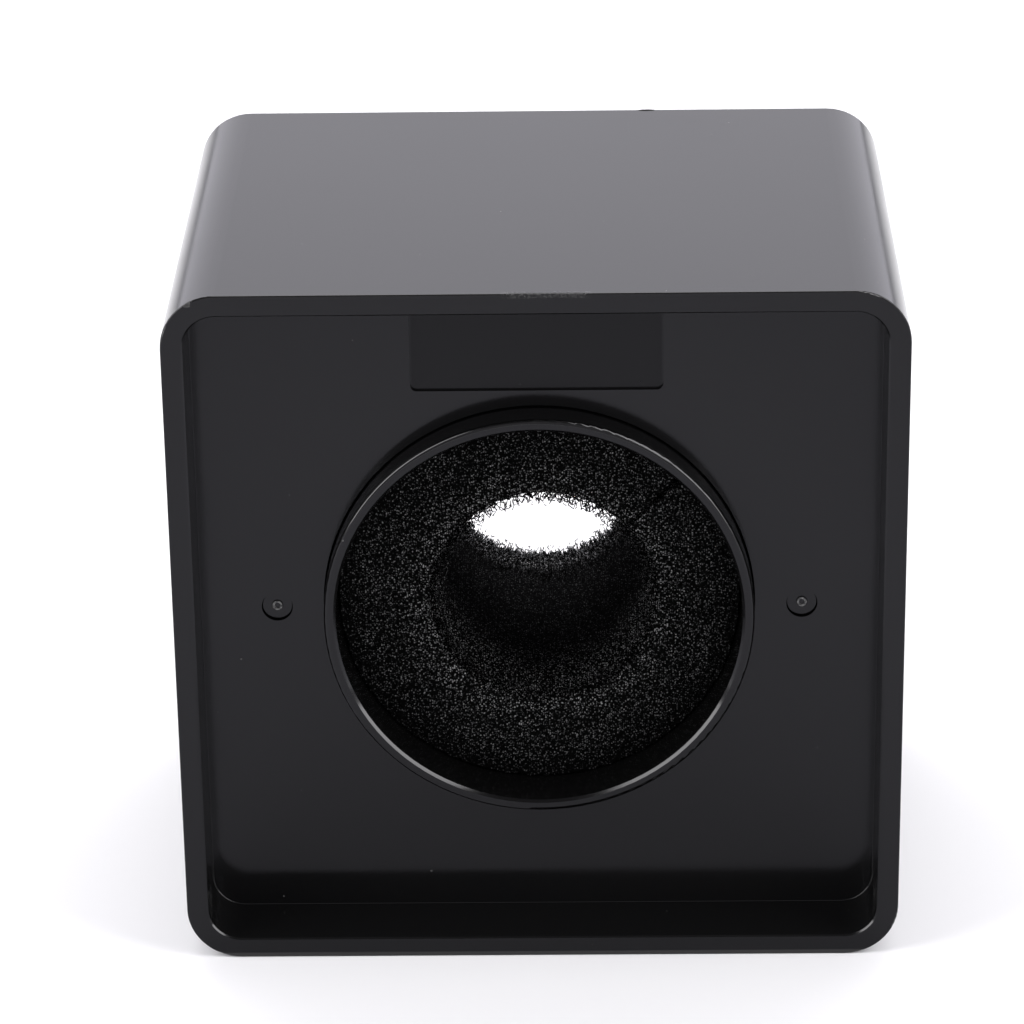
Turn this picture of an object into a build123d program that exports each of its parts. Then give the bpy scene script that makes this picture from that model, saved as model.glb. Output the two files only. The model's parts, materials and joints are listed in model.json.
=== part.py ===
"""A square microphone flag: the four-sided logo cube that slips over a microphone's handle.

Frame: +Z up, the flag lying on one of its flat sides, the microphone's axis along Y.
The front mouth faces -Y. The origin is at the centre of the side that it lies on.
"""

import os

from build123d import *

# Outer shell, millimetres
side = 57.0  # width and height of the square
depth = 43.0  # length along the microphone's axis
corner_radius = 4.3  # outside corners of the square
wall = 1.7
recess = 5.7  # from each rim back to the panel behind it
web = 1.8  # thickness of the front web and of the rear plate
rim_chamfer = 0.12  # inside edge of each rim
edge_fillet = 0.12  # outside edge of each rim
foot_fillet = 0.06  # where the recess's walls meet its floor

# Shallow pocket at the top of the front panel
pocket_width = 19.6
pocket_bottom = 18.3  # above the microphone's axis
pocket_gap = 0.6  # left between the pocket and the top wall
pocket_depth = 0.3
pocket_corner = 0.5

# Sleeve that holds the foam
sleeve_bore = 32.0
sleeve_diameter = 33.9
collar_height = 2.8  # how far the sleeve stands proud of each panel
collar_edge = 0.2  # chamfer inside each of its rims
collar_rounding = 0.35  # rounding outside each of its rims
web_hole_chamfer = 0.04  # front edge of the web's hole for the sleeve

# Spacer pins between the web and the rear plate
pin_x = 20.75  # either side of the microphone's axis
tip_diameter = 2.3
pin_body_diameter = 4.0
pin_set_back = 0.3  # the tips stop this far below the panels
gate_ring_diameter = 0.9
gate_ring_bore = 0.45
gate_ring_height = 0.12
gate_ring_rounding = 0.08

# Foam insert
foam_length = 27.5
foam_hole = 17.4
foam_set_back = 4.2  # behind the sleeve's front rim
slit_angle = 41.0  # from +X towards +Z, seen from the front
slit_inner_width = 0.5
slit_outer_width = 1.3

# Clearances, each side
web_clearance = 0.08  # sleeve and pin tips in the web's holes
plate_clearance = 0.1  # rear plate inside the shell
foam_clearance = 0.1  # foam inside the sleeve
shoulder_clearance = 0.05  # pin shoulders behind the web

# Worked out from the above
axis_height = side / 2
front = -depth / 2
back = depth / 2
web_front = front + recess
web_back = web_front + web
plate_back = back - recess
plate_front = plate_back - web
inner_side = side - 2 * wall
inner_radius = corner_radius - wall
collar_front = web_front - collar_height
collar_back = plate_back + collar_height
foam_front = collar_front + foam_set_back


def section(y):
    """The plane across the flag at y, centred on the microphone's axis and facing the front."""
    return Plane(origin=(0, y, axis_height), x_dir=(1, 0, 0), z_dir=(0, -1, 0))


def finish(builder, name):
    """Label a finished piece and write its STEP file."""
    builder.part.label = name
    export_step(builder.part, f"parts/{name}.step")


os.makedirs("parts", exist_ok=True)

# Outer shell: four walls in one moulding, with the front web across them
with BuildPart() as outer_shell:
    with BuildSketch(section(front)):
        RectangleRounded(side, side, corner_radius)
    extrude(amount=-depth)

    with BuildSketch(section(front)):
        RectangleRounded(inner_side, inner_side, inner_radius)
    extrude(amount=-recess, mode=Mode.SUBTRACT)
    foot = outer_shell.edges().filter_by_position(Axis.Y, web_front, web_front)
    fillet(foot, foot_fillet)

    with BuildSketch(section(web_back)):
        RectangleRounded(inner_side, inner_side, inner_radius)
    extrude(amount=-(back - web_back), mode=Mode.SUBTRACT)

    for rim_y in (front, back):
        rim = outer_shell.faces().filter_by_position(Axis.Y, rim_y, rim_y)[0]
        chamfer(rim.inner_wires()[0].edges(), rim_chamfer)
        rim = outer_shell.faces().filter_by_position(Axis.Y, rim_y, rim_y)[0]
        fillet(rim.outer_wire().edges(), edge_fillet)

    with BuildSketch(section(web_front)):
        Circle(sleeve_diameter / 2 + web_clearance)
        with Locations((-pin_x, 0), (pin_x, 0)):
            Circle(tip_diameter / 2 + web_clearance)
    extrude(amount=-web, mode=Mode.SUBTRACT)
    web_holes = outer_shell.edges().filter_by(GeomType.CIRCLE)
    web_holes = web_holes.filter_by_position(Axis.Y, web_front, web_front)
    chamfer(web_holes.sort_by(SortBy.RADIUS)[-1], web_hole_chamfer)

    pocket_top = inner_side / 2 - pocket_gap
    with BuildSketch(section(web_front)) as pocket:
        with Locations((0, pocket_bottom)):
            Rectangle(pocket_width, pocket_top - pocket_bottom, align=(Align.CENTER, Align.MIN))
        fillet(pocket.vertices().group_by(Axis.Y)[0], pocket_corner)
    extrude(amount=-pocket_depth, mode=Mode.SUBTRACT)
finish(outer_shell, "outer_shell")

# Inner frame: the rear plate with the sleeve that carries the foam, in one moulding
with BuildPart() as inner_frame:
    with BuildSketch(section(plate_front)):
        plate_side = inner_side - 2 * plate_clearance
        RectangleRounded(plate_side, plate_side, inner_radius - plate_clearance)
    extrude(amount=-web)

    with BuildSketch(section(collar_front)):
        Circle(sleeve_diameter / 2)
    extrude(amount=-(collar_back - collar_front))

    with BuildSketch(section(collar_front)):
        Circle(sleeve_bore / 2)
    extrude(amount=-(collar_back - collar_front), mode=Mode.SUBTRACT)

    for rim_y in (collar_front, collar_back):
        rim = inner_frame.faces().filter_by_position(Axis.Y, rim_y, rim_y)[0]
        chamfer(rim.inner_wires()[0].edges(), collar_edge)
        rim = inner_frame.faces().filter_by_position(Axis.Y, rim_y, rim_y)[0]
        fillet(rim.outer_wire().edges(), collar_rounding)

    with BuildSketch(section(plate_front)):
        with Locations((-pin_x, 0), (pin_x, 0)):
            Circle(tip_diameter / 2)
    extrude(amount=-web, mode=Mode.SUBTRACT)
finish(inner_frame, "inner_frame")

# Spacer pins: a stout body between two tips, with the ring left by the gate on each end
pin_front = web_front + pin_set_back
pin_back = plate_back - pin_set_back
for name, x in (("left_pin", -pin_x), ("right_pin", pin_x)):
    with BuildPart() as pin:
        with BuildSketch(section(pin_front)):
            with Locations((x, 0)):
                Circle(tip_diameter / 2)
        extrude(amount=-(pin_back - pin_front))

        body_front = web_back + shoulder_clearance
        with BuildSketch(section(body_front)):
            with Locations((x, 0)):
                Circle(pin_body_diameter / 2)
        extrude(amount=-(plate_front - body_front))

        for end_y, outward in ((pin_front, 1), (pin_back, -1)):
            with BuildSketch(section(end_y)):
                with Locations((x, 0)):
                    Circle(gate_ring_diameter / 2)
                    Circle(gate_ring_bore / 2, mode=Mode.SUBTRACT)
            extrude(amount=outward * gate_ring_height)
            crest_y = end_y - outward * gate_ring_height
            crest = pin.edges().filter_by_position(Axis.Y, crest_y, crest_y)
            fillet(crest, gate_ring_rounding)
    finish(pin, name)

# Foam insert: a thick ring of foam with one radial slit, so that it opens over a handle
foam_outer_radius = sleeve_bore / 2 - foam_clearance
with BuildPart() as foam_insert:
    with BuildSketch(section(foam_front)):
        Circle(foam_outer_radius)
        Circle(foam_hole / 2, mode=Mode.SUBTRACT)
        with Locations(Rotation(0, 0, slit_angle)):
            Polygon(
                (foam_hole / 4, -slit_inner_width / 2),
                (foam_outer_radius + 1, -slit_outer_width / 2),
                (foam_outer_radius + 1, slit_outer_width / 2),
                (foam_hole / 4, slit_inner_width / 2),
                align=None,
                mode=Mode.SUBTRACT,
            )
    extrude(amount=-foam_length)
finish(foam_insert, "foam_insert")
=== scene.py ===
# %% [markdown]
# # A square microphone flag
#
# Television reporters slip a small square box over the handle of a microphone, with the station's
# logo stuck on its four flat sides. This one is a black ABS shell with a sleeve through its middle,
# and in the sleeve sits a thick ring of open-cell foam that grips the handle.
#
# The hard parts come ready made from the CAD model, with their exact shapes and places, so this
# script only gives them their finish. The foam is soft and rough, which CAD draws as a plain ring,
# so it is modelled here.

# %% Load the CAD model
import math

import bmesh
import bpy
import numpy as np
from mathutils import Matrix, Vector, noise
from mathutils.geometry import delaunay_2d_cdt
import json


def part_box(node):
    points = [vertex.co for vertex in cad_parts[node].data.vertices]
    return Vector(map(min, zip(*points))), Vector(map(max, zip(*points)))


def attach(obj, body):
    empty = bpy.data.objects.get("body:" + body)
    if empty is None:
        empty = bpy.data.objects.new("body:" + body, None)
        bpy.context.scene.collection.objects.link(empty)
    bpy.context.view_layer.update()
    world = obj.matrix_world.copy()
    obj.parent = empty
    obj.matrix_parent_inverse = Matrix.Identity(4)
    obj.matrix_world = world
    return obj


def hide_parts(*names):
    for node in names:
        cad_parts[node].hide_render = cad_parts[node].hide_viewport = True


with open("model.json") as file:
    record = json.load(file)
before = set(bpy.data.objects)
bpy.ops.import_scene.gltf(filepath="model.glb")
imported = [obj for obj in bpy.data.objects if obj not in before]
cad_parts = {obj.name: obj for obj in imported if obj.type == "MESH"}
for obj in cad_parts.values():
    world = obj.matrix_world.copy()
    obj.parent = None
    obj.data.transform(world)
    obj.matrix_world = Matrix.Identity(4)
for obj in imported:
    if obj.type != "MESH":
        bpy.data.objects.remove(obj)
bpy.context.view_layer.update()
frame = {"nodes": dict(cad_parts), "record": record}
bpy.ops.object.select_all(action="DESELECT")
MM = 0.001
print("CAD nodes:", sorted(frame["nodes"]))

# %% [markdown]
# Everything is placed from the CAD model's own boxes. The shell gives the front and rear faces and
# the middle height, which is also the height of the microphone's axis. The foam's plain ring gives
# the room that the detailed foam has to fill.

# %% Places taken from the CAD model
shell_low, shell_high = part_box("outer_shell")
foam_low, foam_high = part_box("foam_insert")
pin_low, pin_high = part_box("right_pin")
front_y = shell_low.y
rear_y = shell_high.y
side = shell_high.z - shell_low.z
axis_z = side / 2
pin_x = (pin_low.x + pin_high.x) / 2
grip = next(m for m in frame["record"]["mounts"] if m["name"] == "microphone_grip")
hole_radius = grip["dims"]["r_mm"] * MM
foam_radius = (foam_high.x - foam_low.x) / 2
foam_front, foam_rear = foam_low.y, foam_high.y
print(f"side {side / MM:.1f} mm, foam {foam_radius / MM:.1f} mm, hole {hole_radius / MM:.1f} mm")

# %% [markdown]
# ## The camera
#
# The flag is seen square on, from a little above, through a long lens, so its edges stay almost
# parallel. The camera is built from three directions: where it looks, its right and its up.

# %% Camera
CAMERA_ELEVATION = math.radians(23.83)
CAMERA_AZIMUTH = math.radians(1.034)
CAMERA_ROLL = math.radians(-0.853)
CAMERA_DISTANCE = 0.340
CAMERA_LENS = 155.3
aim = Vector((-0.0342 * side, front_y, 0.6851 * side))

look = Vector(
    (
        -math.sin(CAMERA_AZIMUTH) * math.cos(CAMERA_ELEVATION),
        math.cos(CAMERA_AZIMUTH) * math.cos(CAMERA_ELEVATION),
        -math.sin(CAMERA_ELEVATION),
    )
)
right = Vector((math.cos(CAMERA_AZIMUTH), math.sin(CAMERA_AZIMUTH), 0))
up = right.cross(look)
right_rolled = math.cos(CAMERA_ROLL) * right + math.sin(CAMERA_ROLL) * up
up_rolled = -math.sin(CAMERA_ROLL) * right + math.cos(CAMERA_ROLL) * up
turn = Matrix((right_rolled, up_rolled, -look)).transposed()

camera_data = bpy.data.cameras.new("camera")
camera_data.lens = CAMERA_LENS
camera_data.sensor_width = 36
camera_data.clip_end = 20
camera = bpy.data.objects.new("camera", camera_data)
bpy.context.scene.collection.objects.link(camera)
camera.matrix_world = Matrix.Translation(aim - look * CAMERA_DISTANCE) @ turn.to_4x4()
bpy.context.scene.camera = camera
print("camera at", [round(v, 3) for v in camera.location])

# %% [markdown]
# ## Helpers for materials
#
# Colours are written as the hex codes that a paint program shows. Those are sRGB values, and the
# shader wants linear ones, so one function turns them. Another adds a node with its settings and
# links in one line.


# %% Colour and node helpers
def linear(hex_code, alpha=1.0):
    """An sRGB hex colour as the linear values that a shader wants."""
    channels = [int(hex_code[i : i + 2], 16) / 255 for i in (1, 3, 5)]
    flat = [c / 12.92 if c <= 0.04045 else ((c + 0.055) / 1.055) ** 2.4 for c in channels]
    return (*flat, alpha)


def add_node(tree, kind, settings=None, links=None, **values):
    """Adds a node. settings are its own options, values its sockets, links its incoming wires."""
    node = tree.nodes.new(kind)
    for key, value in (settings or {}).items():
        setattr(node, key, value)
    for key, value in values.items():
        node.inputs[key.replace("_", " ")].default_value = value
    for key, source in (links or {}).items():
        tree.links.new(source, node.inputs[key])
    return node


def new_material(name):
    """An empty material, its tree, and its output node."""
    material = bpy.data.materials.new(name)
    material.use_nodes = True
    tree = material.node_tree
    tree.nodes.clear()
    return material, tree, tree.nodes.new("ShaderNodeOutputMaterial")


def paint(obj, material):
    """Gives the whole object one material."""
    obj.data.materials.clear()
    obj.data.materials.append(material)


print("material helpers ready")

# %% [markdown]
# Patterns are built from sums on values. These three functions keep such sums short: one does a
# single sum, one turns a range of values into another, and one blends two colours.


# %% Sums and blends
def maths(tree, operation, first, second=0.0):
    """One sum on two values, each a socket or a number."""
    node = add_node(tree, "ShaderNodeMath", {"operation": operation})
    for index, value in enumerate((first, second)):
        if isinstance(value, (int, float)):
            node.inputs[index].default_value = value
        else:
            tree.links.new(value, node.inputs[index])
    return node.outputs["Value"]


def line_map(tree, value, low, high, start=0.0, end=1.0):
    """Maps value from low..high to start..end, eased at both ends. low may be over high."""
    return add_node(
        tree,
        "ShaderNodeMapRange",
        settings={"interpolation_type": "SMOOTHSTEP"},
        links={"Value": value},
        From_Min=low,
        From_Max=high,
        To_Min=start,
        To_Max=end,
    ).outputs["Result"]


def blend(tree, share, first, second):
    """A colour between two, each a socket or a hex code. share 0 gives the first."""
    node = add_node(tree, "ShaderNodeMix", {"data_type": "RGBA"}, {0: share})
    for index, colour in ((6, first), (7, second)):
        if isinstance(colour, str):
            node.inputs[index].default_value = linear(colour)
        else:
            tree.links.new(colour, node.inputs[index])
    return node.outputs[2]


print("sums and blends ready")

# %% [markdown]
# ## Wear and dust on black plastic
#
# A clean black part still has a few white specks of dust and hair-fine scratches. Dust is a sparse
# set of cells with a small round speck in the middle of each. Scratches are noise drawn out to
# long thin bands, which show only in patches, where hands have rubbed.


# %% Dust and scratches
def specks(tree, place, spacing, size, share):
    """Round specks: 1 in a speck, 0 elsewhere. share is the part of the cells that have one."""
    cells = add_node(
        tree, "ShaderNodeTexVoronoi", links={"Vector": place}, Scale=1 / spacing, Randomness=1.0
    )
    luck = add_node(tree, "ShaderNodeSeparateColor", links={"Color": cells.outputs["Color"]})
    near = line_map(tree, cells.outputs["Distance"], size / spacing, 0.5 * size / spacing)
    return maths(tree, "MULTIPLY", near, maths(tree, "LESS_THAN", luck.outputs["Red"], share))


def scratches(tree, place, turn, spacing, width, share):
    """Fine straight scratches, all about one way. share is the part of the surface with any."""
    length = 5 * MM
    patch = 9 * MM
    drawn = add_node(tree, "ShaderNodeMapping", links={"Vector": place})
    drawn.inputs["Rotation"].default_value = turn
    drawn.inputs["Scale"].default_value = (1 / length, 1 / spacing, 1 / spacing)
    bands = add_node(
        tree, "ShaderNodeTexNoise", links={"Vector": drawn.outputs["Vector"]}, Scale=1.0
    )
    from_middle = maths(tree, "SUBTRACT", bands.outputs["Fac"], 0.5)
    line = line_map(tree, maths(tree, "ABSOLUTE", from_middle), width, width * 0.3)
    where = add_node(tree, "ShaderNodeTexNoise", links={"Vector": place}, Scale=1 / patch)
    rubbed = line_map(tree, where.outputs["Fac"], 1 - share, 1.08 - share)
    return maths(tree, "MULTIPLY", line, rubbed)


print("dust and scratches ready")

# %% [markdown]
# Some marks sit in one place: a dull pocket, a torn edge, a painted highlight on a ring round a
# gate.
# Each needs a mask that is 1 in that place and 0 elsewhere, worked out from the place's own
# millimetres.


# %% Masks for marks in one place
def in_box(tree, place, middle, half_size, soft=0.02):
    """1 inside a box and 0 outside it. soft is the part of the half size over which it fades."""
    off = add_node(tree, "ShaderNodeVectorMath", {"operation": "SUBTRACT"}, {0: place})
    off.inputs[1].default_value = middle
    off = add_node(tree, "ShaderNodeVectorMath", {"operation": "ABSOLUTE"}, {0: off.outputs[0]})
    off = add_node(tree, "ShaderNodeVectorMath", {"operation": "DIVIDE"}, {0: off.outputs[0]})
    off.inputs[1].default_value = half_size
    share = add_node(tree, "ShaderNodeSeparateXYZ", links={"Vector": off.outputs[0]})
    most = maths(tree, "MAXIMUM", share.outputs["X"], share.outputs["Y"])
    most = maths(tree, "MAXIMUM", most, share.outputs["Z"])
    return line_map(tree, most, 1.0, 1.0 - soft)


def distance_from(tree, across, height, middle_height):
    """The distance in the XZ plane from the line at across 0 and middle_height."""
    up = maths(tree, "SUBTRACT", height, middle_height)
    squares = maths(
        tree, "ADD", maths(tree, "MULTIPLY", across, across), maths(tree, "MULTIPLY", up, up)
    )
    return maths(tree, "SQRT", squares)


def ring_highlight_mask(tree, place, off_x, height, near_y, radius, width):
    """1 on two small front rings, off_x either side of the middle, for a painted highlight; else 0.
    """
    parts = add_node(tree, "ShaderNodeSeparateXYZ", links={"Vector": place})
    across = maths(tree, "SUBTRACT", maths(tree, "ABSOLUTE", parts.outputs["X"]), off_x)
    off_centre = distance_from(tree, across, parts.outputs["Z"], height)
    off_ring = maths(tree, "ABSOLUTE", maths(tree, "SUBTRACT", off_centre, radius))
    on_ring = line_map(tree, off_ring, width, 0.4 * width)
    at_front = maths(tree, "LESS_THAN", parts.outputs["Y"], near_y)
    return maths(tree, "MULTIPLY", on_ring, at_front)


print("masks ready")

# %% [markdown]
# ## Moulded black ABS
#
# The shell, the frame and the pins are injection-moulded ABS, coloured black right through. Almost
# all that the eye sees of such a plastic is its shine: the colour itself returns under one percent
# of the light. ABS has an index of refraction of 1.53, so it mirrors about 4 percent face on and
# much more at a grazing angle, which is what turns the rounded corners white.
#
# - The mould's satin finish, about a micrometre high, blurs the mirror image a little.
# - The melt's flow leaves slow waves a few micrometres high, so the mirror image isn't quite even.
# - Dust is pale and rough, and so is plastic that was torn, which stress turns white. The pale ring
#   round each pin's gate is a painted highlight.

# %% Moulded ABS
ABS_IOR = 1.53
FLOW_WAVE = 14 * MM
SATIN_GRAIN = 0.22 * MM
TORN_HEIGHT = 0.05 * MM
POCKET_DULLER, POCKET_ROUGHER = 0.30, 0.05
# The second colour is a painted highlight: the pale of the ring round each pin's gate
DUST_COLOUR, RING_HIGHLIGHT_COLOUR = "#6a6a68", "#7e7e7c"


def moulded_abs(name, colour, roughness, grain, wave, pocket=None, scars=(), ring=None):
    """Black ABS from a satin mould. grain and wave are heights in metres."""
    material, tree, output = new_material(name)
    place = add_node(tree, "ShaderNodeTexCoord").outputs["Object"]
    near = {"Vector": place}
    flow = add_node(tree, "ShaderNodeTexNoise", links=near, Scale=1 / FLOW_WAVE, Detail=2.0)
    fine = add_node(tree, "ShaderNodeTexNoise", links=near, Scale=1 / SATIN_GRAIN, Detail=3.0)

    # The gloss varies slowly, and scratches and dust break it
    dust = specks(tree, place, 3.1 * MM, 0.085 * MM, 0.35)
    fluff = specks(tree, place, 1.3 * MM, 0.05 * MM, 0.16)
    pale_marks_and_ring_highlight = maths(tree, "MAXIMUM", dust, maths(tree, "MULTIPLY", fluff, 0.5))
    marks = scratches(tree, place, (0.0, 0.0, 0.5), 0.9 * MM, 0.012, 0.42)
    rough = line_map(tree, flow.outputs["Fac"], 0.3, 0.7, roughness - 0.02, roughness + 0.03)
    rough = maths(tree, "ADD", rough, maths(tree, "MULTIPLY", marks, 0.07))

    shine = 1.0
    if pocket:
        dull = in_box(tree, place, *pocket)
        shine = maths(tree, "SUBTRACT", 1.0, maths(tree, "MULTIPLY", dull, POCKET_DULLER))
        rough = maths(tree, "ADD", rough, maths(tree, "MULTIPLY", dull, POCKET_ROUGHER))

    height = maths(tree, "MULTIPLY", fine.outputs["Fac"], grain)
    for middle, half_size, pale in scars:
        torn = in_box(tree, place, middle, half_size, soft=0.4)
        crumbs = line_map(tree, fine.outputs["Fac"], 0.42, 0.62)
        torn_up = maths(tree, "MULTIPLY", torn, crumbs)
        height = maths(tree, "ADD", height, maths(tree, "MULTIPLY", torn_up, TORN_HEIGHT))
        rough = maths(tree, "ADD", rough, maths(tree, "MULTIPLY", torn, 0.22))
        pale_marks_and_ring_highlight = maths(tree, "MAXIMUM", pale_marks_and_ring_highlight, maths(tree, "MULTIPLY", torn_up, pale))

    # The pale ring round each pin's gate is a painted highlight for the light its edges catch
    if ring:
        patchy = line_map(tree, fine.outputs["Fac"], 0.38, 0.60, 0.25, 1.0)
        ring_highlight = maths(tree, "MULTIPLY", ring_highlight_mask(tree, place, *ring), patchy)
        pale_marks_and_ring_highlight = maths(tree, "MAXIMUM", pale_marks_and_ring_highlight, ring_highlight)
    rough = maths(tree, "ADD", rough, maths(tree, "MULTIPLY", pale_marks_and_ring_highlight, 0.5))
    body = blend(tree, pale_marks_and_ring_highlight, colour, RING_HIGHLIGHT_COLOUR if ring else DUST_COLOUR)

    waves = add_node(
        tree, "ShaderNodeBump", links={"Height": flow.outputs["Fac"]}, Strength=1.0, Distance=wave
    )
    satin = add_node(
        tree,
        "ShaderNodeBump",
        links={"Height": height, "Normal": waves.outputs["Normal"]},
        Strength=1.0,
        Distance=1.0,
    )
    plastic = add_node(
        tree,
        "ShaderNodeBsdfPrincipled",
        links={
            "Base Color": body,
            "Roughness": rough,
            "Normal": satin.outputs["Normal"],
            "Specular IOR Level": maths(tree, "MULTIPLY", shine, 0.5),
        },
        IOR=ABS_IOR,
    )
    tree.links.new(plastic.outputs["BSDF"], output.inputs["Surface"])
    return material


print("moulded ABS ready")

# %% [markdown]
# The shell has three marks of its own. The shallow pocket above the sleeve was spark-eroded a little
# duller than the panel round it. A strip of the front top edge is torn, where the gate that fed the
# mould was cut off. A knock has left a nick in one corner. On each pin, the ring round the gate is
# painted pale: a painted highlight for the light that the ring's edges catch.

# %% Paint the hard parts
POCKET_MIDDLE = (0, front_y + 6.2 * MM, axis_z + 22.5 * MM)
POCKET_HALF = (9.8 * MM, 0.42 * MM, 4.2 * MM)
# Each scar is its middle, its half size, and how white it has gone
GATE_SCAR = ((0.85 * MM, front_y, side), (3.7 * MM, 0.45 * MM, 0.45 * MM), 0.12)
NICK = ((-26.3 * MM, front_y, side - 0.6 * MM), (0.32 * MM, 0.3 * MM, 0.32 * MM), 0.35)
# The ring round each pin's gate gets a painted highlight
# Off the middle, height, how far back it reaches, radius and width
GATE_RING_HIGHLIGHT = (pin_x, axis_z, pin_low.y + 0.14 * MM, 0.30 * MM, 0.13 * MM)

shell_abs = moulded_abs(
    "moulded ABS, shell",
    colour="#0b0b0b",
    roughness=0.14,
    grain=0.0014 * MM,
    wave=0.004 * MM,
    pocket=(POCKET_MIDDLE, POCKET_HALF),
    scars=(GATE_SCAR, NICK),
)
frame_abs = moulded_abs(
    "moulded ABS, frame", colour="#0a0a0a", roughness=0.13, grain=0.0014 * MM, wave=0.003 * MM
)
pin_abs = moulded_abs(
    "moulded ABS, pins",
    colour="#0b0b0b",
    roughness=0.16,
    grain=0.004 * MM,
    wave=0.002 * MM,
    ring=GATE_RING_HIGHLIGHT,
)
paint(frame["nodes"]["outer_shell"], shell_abs)
paint(frame["nodes"]["inner_frame"], frame_abs)
paint(frame["nodes"]["left_pin"], pin_abs)
paint(frame["nodes"]["right_pin"], pin_abs)
print("painted the CAD nodes")

# %% [markdown]
# A second gate fed the mould at the rear top edge. It was snapped off and left a stub one and a half
# millimetres wide and hardly a tenth of a millimetre high.

# %% Gate stub
bpy.ops.mesh.primitive_uv_sphere_add(segments=24, ring_count=12, radius=1, location=(0, 0, 0))
gate_stub = bpy.context.object
gate_stub.name = "gate_stub"
gate_stub.scale = (0.80 * MM, 0.14 * MM, 0.09 * MM)
gate_stub.location = (9.1 * MM, rear_y - 0.16 * MM, side - 0.02 * MM)
bpy.ops.object.transform_apply(location=True, rotation=True, scale=True)
bpy.ops.object.shade_smooth()
paint(gate_stub, shell_abs)
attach(gate_stub, "shell")
print("gate stub", len(gate_stub.data.polygons), "faces")

# %% [markdown]
# ## The foam ring
#
# Open-cell polyurethane foam is a net of thin struts round bubbles about a third of a millimetre
# across. Where it is cut, the surface is a field of small pits between ridges. No primitive has such
# a surface, so the ring is swept round the hole as rows of points: the front face, the lining of the
# hole, the rear face and the outside.
#
# The foam was pushed in by hand, so its hole leans a little: it starts to the right of the axis and
# ends almost on it. It flares at both rims, so their edges are soft.

# %% Outline of the foam
HOLE_LEAN_FRONT, HOLE_LEAN_REAR = 0.35 * MM, -0.05 * MM
LIP = 1.3 * MM
FLARE_FRONT, FLARE_REAR = 0.70 * MM, 0.30 * MM
# The cut surface sinks below this outline, so the outline starts a little inside the hole
SNUG = 0.20 * MM


def hole_centre(y):
    """How far the leaning hole is off the axis at y."""
    t = (y - foam_front) / (foam_rear - foam_front)
    return HOLE_LEAN_FRONT + (HOLE_LEAN_REAR - HOLE_LEAN_FRONT) * t


def hole_edge(y):
    """The hole's radius at y: it flares over the length of the lip at both ends."""
    front_flare = FLARE_FRONT * max(0.0, 1 - (y - foam_front) / LIP)
    rear_flare = FLARE_REAR * max(0.0, 1 - (foam_rear - y) / LIP)
    return hole_radius - SNUG + front_flare + rear_flare


print(f"hole radius {hole_edge(foam_front) / MM:.2f} mm at the front, ", end="")
print(f"{hole_edge(foam_rear) / MM:.2f} mm at the rear")

# %% [markdown]
# The rows lie closest together where the foam is seen best: on the front face and just inside the
# front and rear rims. Deep in the hole they can be further apart, and on the hidden outside further
# still.

# %% Rows of the foam
AROUND = 560
FRONT_STEP, MIDDLE_STEP, REAR_STEP = 0.14 * MM, 0.32 * MM, 0.15 * MM
REAR_FACE_STEP, OUTSIDE_STEP = 0.28 * MM, 4.5 * MM
fine_front_end = foam_front + 5 * MM
fine_rear_start = foam_rear - 3 * MM


def spread(start, end, step):
    """Evenly spaced values from start to end, about step apart."""
    count = max(1, round(abs(end - start) / step))
    return [start + (end - start) * i / count for i in range(count + 1)]


# Each row is its place along the axis and its share of the way from the hole's edge to the outside
wall = foam_radius - hole_radius
rows = [(foam_front, share) for share in spread(1, 0, FRONT_STEP / wall)]
rows += [(y, 0.0) for y in spread(foam_front, fine_front_end, FRONT_STEP)[1:]]
rows += [(y, 0.0) for y in spread(fine_front_end, fine_rear_start, MIDDLE_STEP)[1:]]
rows += [(y, 0.0) for y in spread(fine_rear_start, foam_rear, REAR_STEP)[1:]]
rows += [(foam_rear, share) for share in spread(0, 1, REAR_FACE_STEP / wall)[1:]]
rows += [(y, 1.0) for y in spread(foam_rear, foam_front, OUTSIDE_STEP)[1:-1]]
print(len(rows), "rows of", AROUND, "points")

# %% [markdown]
# A point's place comes from its turn round the hole and its row. The ring has a slit through its
# wall, and the rows stop on both sides of it. The slit is nearly shut at the hole and half a
# millimetre wide at the outside.

# %% Points of the foam
SLIT_TURN = math.radians(42.5)
SLIT_INNER, SLIT_OUTER = 0.05 * MM, 0.55 * MM


def foam_point(y, share, turn):
    """A point of the smooth foam, turn 0 to 1 from one wall of the slit round to the other."""
    radius = hole_edge(y) + (foam_radius - hole_edge(y)) * share
    gap = (SLIT_INNER + (SLIT_OUTER - SLIT_INNER) * share) / radius
    angle = SLIT_TURN + gap / 2 + turn * (2 * math.pi - gap)
    outward = Vector((math.cos(angle), 0, math.sin(angle)))
    inner = Vector((hole_centre(y), y, axis_z)) + hole_edge(y) * outward
    outer = Vector((0, y, axis_z)) + foam_radius * outward
    return inner.lerp(outer, share)


print("front rim starts at", [round(v / MM, 2) for v in foam_point(foam_front, 0, 0)], "mm")

# %% [markdown]
# Each point then sinks into the nearest bubble, so the pits and ridges are real shape. Voronoi cells
# stand for the bubbles: halfway between two cell centres a point lies on a ridge and hardly sinks,
# and towards a centre it sinks by up to a third of a millimetre.

# %% Surface of the foam
CELL = 0.36 * MM
RIDGE_WIDTH = 0.45
SHALLOW_PIT, DEEPER_PIT = 0.06, 0.26
SWELL_LENGTH, SWELL_HEIGHT = 5 * MM, 0.08 * MM


def sink(point):
    """How deep the cut surface lies under the smooth one at this point."""
    near, _ = noise.voronoi(point / CELL)
    ridge = min(1.0, max(0.0, (near[1] - near[0]) / RIDGE_WIDTH))
    bubble = 0.5 + 0.5 * noise.noise(point / (CELL * 1.3))
    depth = (SHALLOW_PIT + DEEPER_PIT * bubble) * MM
    swell = noise.noise(point / SWELL_LENGTH) * SWELL_HEIGHT
    return depth * ridge * ridge * (3 - 2 * ridge) + swell


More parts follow.
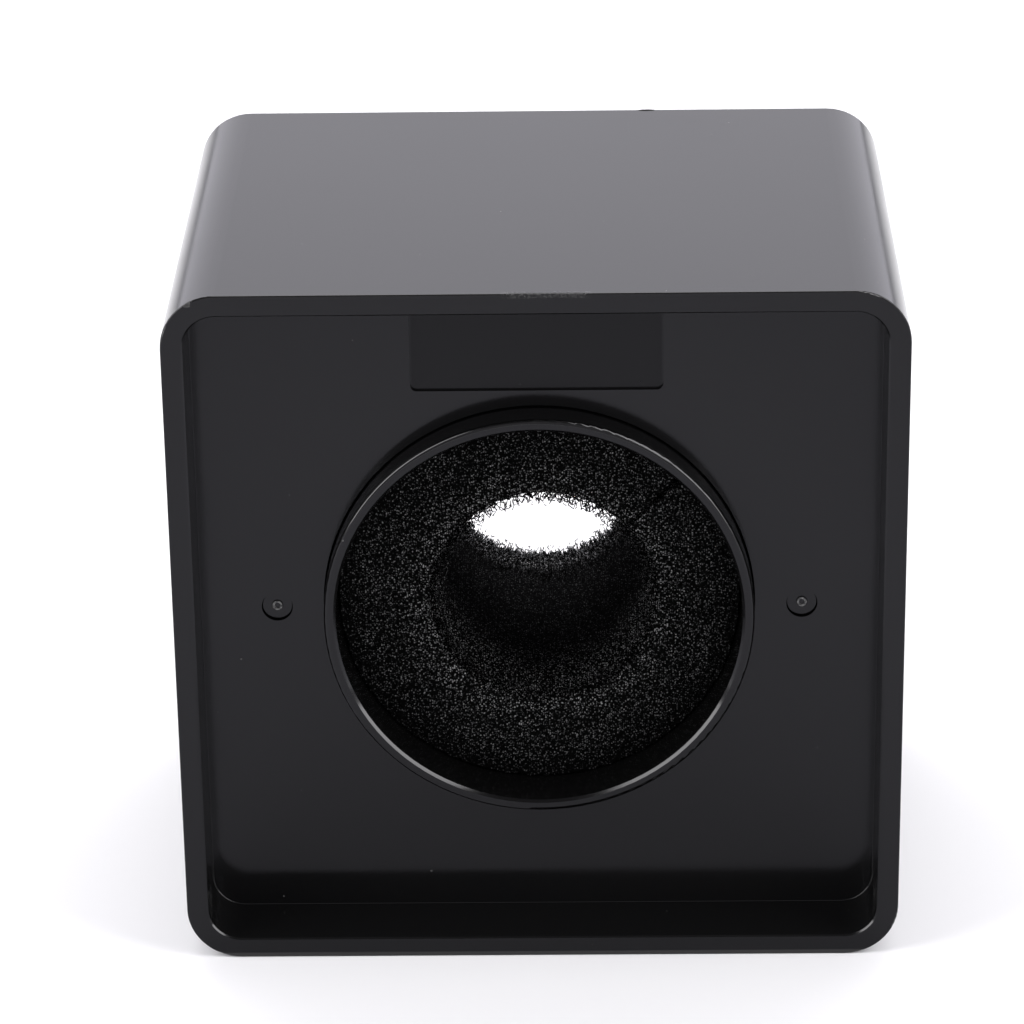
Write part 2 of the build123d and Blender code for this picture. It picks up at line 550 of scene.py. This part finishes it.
foam_mesh = bmesh.new()
grid = []
for y, share in rows:
    turns = [i / (AROUND - 1) for i in range(AROUND)]
    grid.append([foam_mesh.verts.new(foam_point(y, share, turn_share)) for turn_share in turns])
for a, b in zip(grid, grid[1:] + grid[:1]):
    for i in range(AROUND - 1):
        foam_mesh.faces.new((a[i], a[i + 1], b[i + 1], b[i]))
foam_mesh.faces.new([line[0] for line in grid])
foam_mesh.faces.new([line[-1] for line in reversed(grid)])
bmesh.ops.recalc_face_normals(foam_mesh, faces=foam_mesh.faces)
foam_mesh.normal_update()
moves = [(vertex, -vertex.normal * sink(vertex.co)) for line in grid for vertex in line]
for vertex, move in moves:
    vertex.co += move
print(len(foam_mesh.verts), "points,", len(foam_mesh.faces), "faces")

# %% [markdown]
# ## Loose struts
#
# At the two rims of the hole the cut leaves loose struts that stand against the light. Each is a
# thin rod. It needs only three sides, because thousands of them are made and most are under a tenth
# of a millimetre thick.

# %% One strut
STRUT = 0.038 * MM
STRUT_SIDES = 3


def rod(mesh, start, end, radius):
    """A thin three-sided rod with closed ends."""
    way = (end - start).normalized()
    side_way = way.orthogonal().normalized()
    ends = []
    for place in (start, end):
        ring = []
        for k in range(STRUT_SIDES):
            turned = Matrix.Rotation(2 * math.pi * k / STRUT_SIDES, 3, way) @ side_way
            ring.append(mesh.verts.new(place + turned * radius))
        ends.append(ring)
    for k in range(STRUT_SIDES):
        n = (k + 1) % STRUT_SIDES
        mesh.faces.new((ends[0][k], ends[0][n], ends[1][n], ends[1][k]))
    mesh.faces.new(reversed(ends[0]))
    mesh.faces.new(ends[1])


print(f"struts about {2 * STRUT / MM:.3f} mm thick")

# %% [markdown]
# Round a rim the struts still hang together as a lace. Points are scattered in a band round the rim
# and joined to their neighbours by a Delaunay net. Its edges become rods, fewer of them towards the
# middle of the hole, so the lace ends raggedly.

# %% Lace round a rim
LACE_SPACING = 0.135 * MM
LONGEST_STRUT = 0.70 * MM


def lace(mesh, y_rim, into, deep, low, high, seed):
    """Loose struts round one rim. into is +1 or -1, the way from the rim into the foam."""
    rng = np.random.default_rng(seed)
    length = 2 * math.pi * hole_radius
    count = int(length * (high - low) / LACE_SPACING**2)
    flat = [Vector((rng.uniform(0, length), rng.uniform(low, high))) for _ in range(count)]
    points, edges, *_ = delaunay_2d_cdt(flat, [], [], 0, 0.0)
    place = []
    for u, v in points:
        depth = deep * rng.uniform(0.04, 1.0)
        y = y_rim + into * depth
        angle = u / hole_radius
        reach = hole_radius - SNUG + v * (1 - 0.5 * depth / deep if v > 0 else 1)
        across, up = reach * math.cos(angle), reach * math.sin(angle)
        place.append(Vector((hole_centre(y) + across, y, axis_z + up)))
    made = 0
    for a, b in edges:
        outward = ((flat[a].y + flat[b].y) / 2 - low) / (high - low)
        short = (place[a] - place[b]).length < LONGEST_STRUT
        if short and rng.random() < 0.15 + 1.0 * outward:
            rod(mesh, place[a], place[b], STRUT * rng.uniform(0.7, 1.4))
            made += 1
    return made


struts = lace(foam_mesh, foam_front, 1, 1.1 * MM, -0.60 * MM, 0.80 * MM, 11)
struts += lace(foam_mesh, foam_rear, -1, 2.0 * MM, -0.85 * MM, 0.35 * MM, 12)
print(struts, "struts in the lace")

# %% [markdown]
# Further in, single strut ends stand up from the lining. They are many near the rear rim, where the
# light falls on them from behind, and few deeper in.

# %% Strut ends on the lining
ENDS_DEPTH = 6 * MM
ENDS_COUNT = 3200
# The higher this power, the closer the ends keep to the rear rim
TOWARDS_RIM = 2.2


def standing_ends(mesh, deep, count, seed):
    """Short strut ends that stand up from the hole's lining near its rear rim."""
    rng = np.random.default_rng(seed)
    for _ in range(count):
        y = foam_rear - deep * rng.random() ** TOWARDS_RIM
        angle = rng.uniform(0, 2 * math.pi)
        outward = Vector((math.cos(angle), 0, math.sin(angle)))
        foot = Vector((hole_centre(y), y, axis_z)) + outward * (hole_edge(y) + 0.04 * MM)
        lean = Vector((rng.uniform(-1, 1), rng.uniform(-1, 1), rng.uniform(-1, 1)))
        tip = foot - outward * rng.uniform(0.12, 0.42) * MM + lean * 0.12 * MM
        rod(mesh, foot, tip, STRUT * rng.uniform(0.9, 1.7))


standing_ends(foam_mesh, ENDS_DEPTH, ENDS_COUNT, 13)
print(ENDS_COUNT, "strut ends on the lining")

# %% [markdown]
# The ring and its struts become one object. It moves with the foam's body and takes the place of the
# plain ring from the CAD model.

# %% The foam as one object
foam_data = bpy.data.meshes.new("foam_ring")
foam_mesh.to_mesh(foam_data)
foam_mesh.free()
foam_ring = bpy.data.objects.new("foam_ring", foam_data)
bpy.context.scene.collection.objects.link(foam_ring)
foam_ring.data.polygons.foreach_set("use_smooth", [True] * len(foam_data.polygons))
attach(foam_ring, "foam")
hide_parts("foam_insert")
print(len(foam_data.polygons), "faces in all")

# %% [markdown]
# ## Open-cell foam
#
# The foam is black right through and soaks up almost all light in its bubbles. Only where a strut or
# a junction of struts lies on the surface does it throw back a tiny glint, and that fine sparkle is
# what the eye takes for foam. The glints are painted highlights in the colour: dots in a grid of
# cells a sixth of a millimetre apart, bent by noise so that no dot is round, and each has its own
# brightness.

# %% Glints on the foam
GLINT_SPACING = 0.165 * MM
FINE_GRAIN = 0.13 * MM
# A power over 1 makes bright glints rarer than dim ones
RARITY = 2.0


def glints(tree, place, fine):
    """The dots where glints can be, 0 to 1, and the same dots each at its own brightness."""
    bent = add_node(
        tree,
        "ShaderNodeVectorMath",
        {"operation": "MULTIPLY_ADD"},
        {0: fine.outputs["Color"], 2: place},
    )
    bent.inputs[1].default_value = (FINE_GRAIN, FINE_GRAIN, FINE_GRAIN)
    junctions = add_node(
        tree,
        "ShaderNodeTexVoronoi",
        links={"Vector": bent.outputs["Vector"]},
        Scale=1 / GLINT_SPACING,
        Randomness=1.0,
    )
    dot = line_map(tree, junctions.outputs["Distance"], 0.50, 0.12)
    chance = add_node(tree, "ShaderNodeSeparateColor", links={"Color": junctions.outputs["Color"]})
    sparkle = maths(tree, "POWER", chance.outputs["Red"], RARITY)
    return dot, maths(tree, "MULTIPLY", sparkle, dot)


print("glints every", GLINT_SPACING / MM, "mm")

# %% [markdown]
# How strong the painted glints are depends on the place, as painted light and shade. They are
# strongest round the hole and weaker beside the sleeve, which shades the foam. Deep in the hole
# little light reaches them. At the rear rim the light comes from behind, so the struts there light
# up.

# %% Strength of the glints by place
# Painted light and shade on the glints: brightest at the hole, dimmest at the sleeve and deep in the
# hole
AT_HOLE, ON_FACE, AT_SLEEVE, DEEP_IN_HOLE = 1.9, 0.92, 0.40, 0.42


def light_by_place(tree, place):
    """Painted light and shade on the glints, and masks: deep in the hole, and at the hole's rear
    rim.
    """
    sides = add_node(tree, "ShaderNodeSeparateXYZ", links={"Vector": place})
    depth = sides.outputs["Y"]
    off_axis = distance_from(tree, sides.outputs["X"], sides.outputs["Z"], axis_z)
    rim_start, rim_end = hole_radius + 0.4 * MM, hole_radius + 3.6 * MM
    shade_start, shade_end = foam_radius - 2.2 * MM, foam_radius - 0.1 * MM
    near_hole = line_map(tree, off_axis, rim_start, rim_end, AT_HOLE, ON_FACE)
    near_sleeve = line_map(tree, off_axis, shade_start, shade_end, 1.0, AT_SLEEVE)

    lining = line_map(tree, off_axis, hole_radius + 1.0 * MM, hole_radius + 0.5 * MM)
    in_hole = line_map(tree, depth, foam_front + 3 * MM, foam_front + 12 * MM)
    in_hole = maths(tree, "MULTIPLY", in_hole, lining)
    at_rear = line_map(tree, depth, foam_rear - 4.5 * MM, foam_rear - 0.5 * MM)
    at_rear = maths(tree, "MULTIPLY", at_rear, lining)

    # Painted light and shade by place
    painted_light = maths(tree, "MULTIPLY", near_hole, near_sleeve)
    deep_fade = line_map(tree, in_hole, 0.0, 1.0, 1.0, DEEP_IN_HOLE)
    return maths(tree, "MULTIPLY", painted_light, deep_fade), in_hole, at_rear


print("glints", AT_HOLE, "at the hole,", ON_FACE, "on the face,", AT_SLEEVE, "at the sleeve")

# %% [markdown]
# The painted glints go from the black between them to grey, and at the rear rim to almost white, a
# painted highlight for the light from behind. Deep in the hole the black is painted lighter, for
# light that scatters into it. A fine bump roughens the struts, and only the lit dots at the rear rim
# have any shine.

# %% Paint the foam
# How much brighter the rear rim's glints are painted, a painted highlight for light from behind
LIT_FROM_BEHIND = 5.0
FINE_BUMP = 0.03 * MM

foam_pu, tree, output = new_material("open-cell polyurethane foam")
place = add_node(tree, "ShaderNodeTexCoord").outputs["Object"]
fine = add_node(
    tree, "ShaderNodeTexNoise", links={"Vector": place}, Scale=1 / FINE_GRAIN, Detail=1.0
)
dot, glint = glints(tree, place, fine)
painted_light, in_hole, at_rear = light_by_place(tree, place)
from_front = maths(tree, "MULTIPLY", glint, painted_light)
from_behind = maths(tree, "MULTIPLY", maths(tree, "MULTIPLY", glint, at_rear), LIT_FROM_BEHIND)
strong = maths(tree, "ADD", from_front, from_behind)
# Painted highlight: towards the rear rim the glints are painted almost white
pale = blend(tree, at_rear, "#848484", "#f4f4f6")
# Painted light: deep in the hole the black between the glints is painted lighter
dark = blend(tree, in_hole, "#060606", "#191919")
fine_bump = add_node(
    tree,
    "ShaderNodeBump",
    links={"Height": fine.outputs["Fac"]},
    Strength=1.0,
    Distance=FINE_BUMP,
)
skin = add_node(
    tree,
    "ShaderNodeBsdfPrincipled",
    links={
        "Normal": fine_bump.outputs["Normal"],
        "Base Color": blend(tree, strong, dark, pale),
        "Specular IOR Level": maths(tree, "MULTIPLY", at_rear, dot),
    },
    Roughness=0.45,
)
tree.links.new(skin.outputs["BSDF"], output.inputs["Surface"])
paint(foam_ring, foam_pu)
print("foam made of", len(tree.nodes), "nodes")

# %% [markdown]
# ## Light and floor
#
# The flag stands on plain white paper in front of a white sweep. The sweep is lit more strongly
# behind the flag than in front, and only a quarter as strongly overhead.

# %% White sweep
# Slightly blue, as linear light
SWEEP_TINT = (0.99, 0.975, 1.06, 1)
FRONT_LIGHT, BACK_LIGHT, OVERHEAD_SHARE = 0.42, 1.22, 0.25

scene = bpy.context.scene
scene.view_settings.view_transform = "Standard"
world = bpy.data.worlds.new("white sweep")
scene.world = world
world.use_nodes = True
sky = world.node_tree
sky.nodes.clear()
direction = add_node(sky, "ShaderNodeTexCoord").outputs["Generated"]
parts = add_node(sky, "ShaderNodeSeparateXYZ", links={"Vector": direction})
front_to_back = line_map(sky, parts.outputs["Y"], -0.35, 0.75, FRONT_LIGHT, BACK_LIGHT)
overhead = line_map(sky, parts.outputs["Z"], 0.55, 0.85, 1.0, OVERHEAD_SHARE)
strength = maths(sky, "MULTIPLY", front_to_back, overhead)
tent = add_node(sky, "ShaderNodeBackground", links={"Strength": strength}, Color=SWEEP_TINT)
add_node(sky, "ShaderNodeOutputWorld", links={"Surface": tent.outputs["Background"]})
print("sweep from", FRONT_LIGHT, "in front to", BACK_LIGHT, "behind")

# %% [markdown]
# A grey sheet in front of the flag, just out of the picture, is painted shade: it stands in for the
# shade on the paper in front of the flag, which the front mirrors, so the panel stays dark. The
# sheet is seen by mirror rays only, so it neither shades the paper nor lights the flag.


# %% Paper floor and painted shade sheet
def matt(name, colour):
    """A material for the paper and the painted shade sheet, which have no shine to speak of."""
    material, tree, output = new_material(name)
    sheet = add_node(tree, "ShaderNodeBsdfPrincipled", Base_Color=linear(colour), Roughness=0.9)
    tree.links.new(sheet.outputs["BSDF"], output.inputs["Surface"])
    return material


bpy.ops.mesh.primitive_plane_add(size=6, location=(0, 0, 0))
floor = bpy.context.object
floor.name = "paper_floor"
paint(floor, matt("matt white paper", "#f3f3f3"))

# A grey sheet of painted shade, seen only in reflections, for the shade in front of the flag
bpy.ops.mesh.primitive_plane_add(size=1, location=(0, front_y - 0.15, 0.4 * MM))
shade_card = bpy.context.object
shade_card.name = "painted_shade_card"
shade_card.scale = (0.7, 0.3, 1)
shade_card.visible_camera = False
shade_card.visible_shadow = False
shade_card.visible_diffuse = False
paint(shade_card, matt("painted shade card", "#9c9ca2"))
print("floor and card laid")

# %% [markdown]
# Three softboxes draw the thin bright lines on the flag's edges and the glints in the foam: a large
# one high up behind the flag, and one on either side, a little in front.

# %% Softboxes
SOFTBOX_TINT = (0.99, 0.98, 1.0)


def softbox(name, place, aim_at, width, height, brightness):
    """A rectangular studio light. brightness is against the white of the picture."""
    data = bpy.data.lights.new(name, "AREA")
    data.shape = "RECTANGLE"
    data.size, data.size_y = width, height
    data.energy = brightness * math.pi * width * height
    data.color = SOFTBOX_TINT
    light = bpy.data.objects.new(name, data)
    scene.collection.objects.link(light)
    way = (Vector(aim_at) - Vector(place)).to_track_quat("-Z", "Y")
    light.matrix_world = Matrix.Translation(place) @ way.to_matrix().to_4x4()


middle = (0, 0, axis_z)
softbox("top softbox", (0, 0.36, 0.72), middle, 0.60, 0.50, 3.6)
softbox("left softbox", (-0.362, -0.132, 0.26), middle, 0.28, 0.46, 4.8)
softbox("right softbox", (0.362, -0.132, 0.26), middle, 0.28, 0.46, 4.8)
print(len(bpy.data.lights), "softboxes")
